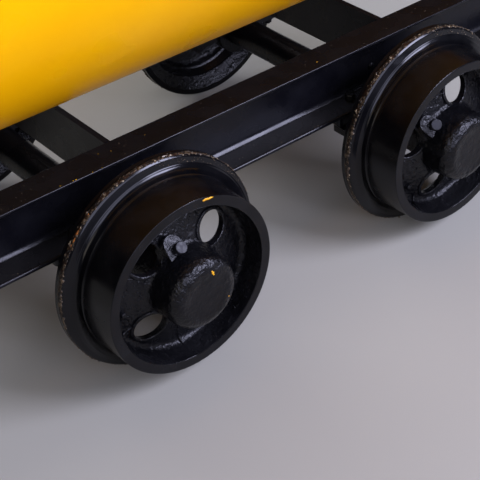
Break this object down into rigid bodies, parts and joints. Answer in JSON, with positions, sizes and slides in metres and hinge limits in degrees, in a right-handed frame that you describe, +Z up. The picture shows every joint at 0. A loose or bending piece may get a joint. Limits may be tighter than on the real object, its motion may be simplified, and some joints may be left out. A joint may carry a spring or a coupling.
{
  "type": "side-tipping rail trolley",
  "caption": "Narrow-gauge mine trolley with a round-bottomed yellow side-tipping tub on a black channel frame with flanged cast wheels.",
  "frame": {"origin": "on the floor under the middle of the trolley, at the lowest point of the wheel flanges", "axes": "+X along the track towards the front end, +Y across the track, +Z up"},
  "size_m": [1.784, 1.01, 1.249],
  "materials": {
    "black_frame": "gloss black paint on rolled steel",
    "black_wheel": "gloss black paint on rough cast steel, machined tread",
    "grey_plug": "worn black paint on steel",
    "yellow_tub": "gloss yellow paint on steel plate"
  },
  "bodies": {
    "chassis": {"side_beam_near": "black_frame", "side_beam_far": "black_frame", "cross_plate_rear": "black_frame", "end_beam_rear": "black_frame", "buffer_rear": "black_frame", "stand_head_rear": "black_frame", "trunnion_bearing_rear": "black_frame", "pedestal_rear_near": "black_frame", "axle_keeper_rear_near": "black_frame", "stand_leg_rear_near": "black_frame", "pedestal_rear_far": "black_frame", "axle_keeper_rear_far": "black_frame", "stand_leg_rear_far": "black_frame", "cross_plate_front": "black_frame", "end_beam_front": "black_frame", "buffer_front": "black_frame", "stand_head_front": "black_frame", "trunnion_bearing_front": "black_frame", "pedestal_front_near": "black_frame", "axle_keeper_front_near": "black_frame", "stand_leg_front_near": "black_frame", "pedestal_front_far": "black_frame", "axle_keeper_front_far": "black_frame", "stand_leg_front_far": "black_frame"},
    "wheelset_rear": {"axle_rear": "black_frame", "wheel_rear_near": "black_wheel", "grease_plug_rear_near": "grey_plug", "wheel_rear_far": "black_wheel", "grease_plug_rear_far": "grey_plug"},
    "wheelset_front": {"axle_front": "black_frame", "wheel_front_near": "black_wheel", "grease_plug_front_near": "grey_plug", "wheel_front_far": "black_wheel", "grease_plug_front_far": "grey_plug"},
    "tub": {"tub_shell": "yellow_tub", "tub_rim": "yellow_tub", "tub_end_rear": "yellow_tub", "tub_end_bar_rear": "yellow_tub", "trunnion_rear": "yellow_tub", "tub_end_front": "yellow_tub", "tub_end_bar_front": "yellow_tub", "trunnion_front": "yellow_tub"}
  },
  "joints": [
    {"name": "wheelset_rear_spin", "type": "hinge", "parent": "chassis", "child": "wheelset_rear", "pos_m": [-0.335, 0, 0.21], "axis": [0, 1, 0], "continuous": true},
    {"name": "wheelset_front_spin", "type": "hinge", "parent": "chassis", "child": "wheelset_front", "pos_m": [0.335, 0, 0.21], "axis": [0, 1, 0], "continuous": true},
    {"name": "tub_tip", "type": "hinge", "parent": "chassis", "child": "tub", "pos_m": [0, 0, 0.909], "axis": [1, 0, 0], "range_deg": [-50, 50]}
  ]
}
